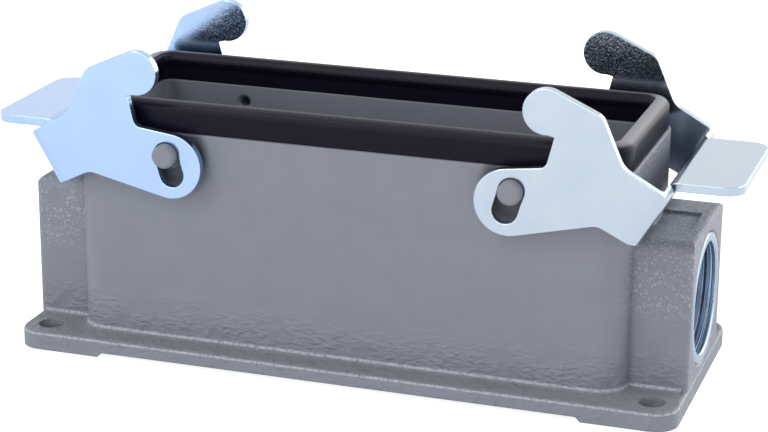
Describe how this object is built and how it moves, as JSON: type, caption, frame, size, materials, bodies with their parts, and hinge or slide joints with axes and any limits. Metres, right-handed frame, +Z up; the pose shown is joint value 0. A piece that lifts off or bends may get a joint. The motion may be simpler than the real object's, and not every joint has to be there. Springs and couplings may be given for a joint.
{
  "type": "heavy duty rectangular connector housing",
  "caption": "Surface-mounting cast housing for a rectangular power connector, with a side cable entry, a rubber rim seal and two hinged sheet-steel locking levers.",
  "frame": {"origin": "centre of the underside, on the plane the mounting pads rest on", "axes": "+X along the length towards the threaded cable entry, +Y towards the back long side, +Z up out of the opening"},
  "size_m": [0.1616, 0.0564, 0.0672],
  "materials": {
    "cast_body": "grey powder coat with a fine wrinkle on die-cast aluminium",
    "seal_rubber": "moulded black rubber, soft sheen",
    "lever_steel": "blue zinc plated sheet",
    "ring_steel": "turned, blue zinc plated"
  },
  "bodies": {
    "housing": {"housing": "cast_body", "profile_seal": "seal_rubber", "entry_ring": "ring_steel"},
    "lever_left": {"lever_left": "lever_steel"},
    "lever_right": {"lever_right": "lever_steel"}
  },
  "joints": [
    {"name": "lever_left_hinge", "type": "hinge", "parent": "housing", "child": "lever_left", "pos_m": [-0.0368, 0, 0.0458], "axis": [0, 1, 0], "range_deg": [0, 30.4]},
    {"name": "lever_right_hinge", "type": "hinge", "parent": "housing", "child": "lever_right", "pos_m": [0.0368, 0, 0.0458], "axis": [0, -1, 0], "range_deg": [0, 30.4]}
  ]
}
